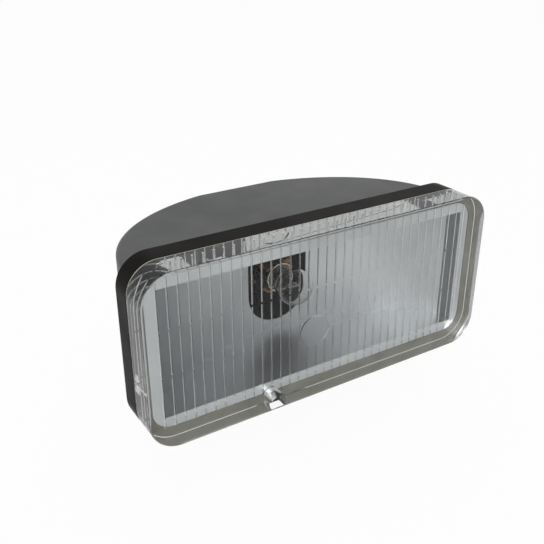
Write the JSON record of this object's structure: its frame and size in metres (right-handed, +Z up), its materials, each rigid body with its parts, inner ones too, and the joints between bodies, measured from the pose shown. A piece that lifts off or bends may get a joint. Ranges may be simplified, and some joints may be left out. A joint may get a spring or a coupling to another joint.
{
  "type": "fog light",
  "caption": "Rectangular vehicle fog light: ribbed clear glass lens, black bezel, grey D-shaped can and a tilting steel foot bracket.",
  "frame": {"origin": "centre of the bracket's bolt hole, on the underside of its foot", "axes": "+Z up along the bolt hole, +Y from the lens back into the lamp, +X to the right of someone who faces the lens"},
  "size_m": [0.18, 0.089, 0.1118],
  "materials": {
    "clear_glass": "pressed clear glass, polished outside",
    "bulb_glass": "thin clear bulb glass",
    "beige_rubber": "matt beige sealing rubber",
    "black_rubber": "matt black rubber",
    "black_plastic": "satin black moulding",
    "black_moulding": "matt black moulding",
    "grey_paint": "satin mid grey paint",
    "black_painted_steel": "satin black paint",
    "bright_aluminium": "bright vapour-coated sheet, slightly soft",
    "zinc_steel": "zinc-plated steel",
    "bright_steel": "bright spring steel",
    "spring_steel": "spring wire",
    "nickel_cap": "nickel-plated brass",
    "solder": "dull solder",
    "lead_wire": "plated wire",
    "tungsten": "drawn tungsten",
    "brass": "copper-toned brass, slightly tarnished",
    "brown_board": "pressed brown insulating board"
  },
  "bodies": {
    "base": {"bracket": "black_painted_steel", "friction_washers": "brown_board", "nut_washer": "zinc_steel", "pivot_nut": "zinc_steel", "pivot_bolt": "zinc_steel"},
    "lamp": {"lens": "clear_glass", "lens_seal": "beige_rubber", "lens_clip": "bright_steel", "bezel": "black_plastic", "bezel_screws": "zinc_steel", "housing": "grey_paint", "housing_seal": "black_rubber", "reflector": "bright_aluminium", "bulb_carrier": "black_moulding", "carrier_screws": "zinc_steel", "lamp_holder": "brass", "holder_insulator": "brown_board", "contact_spring": "spring_steel", "feed_terminal": "brass", "earth_terminal": "brass", "cable_grommet": "black_rubber", "drain_vent": "black_rubber", "mount_lug": "black_painted_steel", "lug_rivets": "zinc_steel"},
    "bulb": {"bulb_globe": "bulb_glass", "bulb_cap": "nickel_cap", "bulb_contact": "solder", "bulb_stem": "bulb_glass", "bulb_leads": "lead_wire", "bulb_filament": "tungsten"},
    "contact": {"contact_plunger": "brass"}
  },
  "joints": [
    {"name": "aim_tilt", "type": "hinge", "parent": "base", "child": "lamp", "pos_m": [0, 0, 0.024], "axis": [1, 0, 0], "range_deg": [-20, 20]},
    {"name": "bulb_turn", "type": "hinge", "parent": "lamp", "child": "bulb", "pos_m": [0, -0.0035, 0.0718], "axis": [0, 1, 0], "range_deg": [0, 20]},
    {"name": "contact_press", "type": "slide", "parent": "lamp", "child": "contact", "axis": [0, 1, 0], "range_m": [0, 0.002], "stiffness_N_per_m": 1500, "springref_m": -0.003, "deforming": ["contact_spring"]}
  ]
}
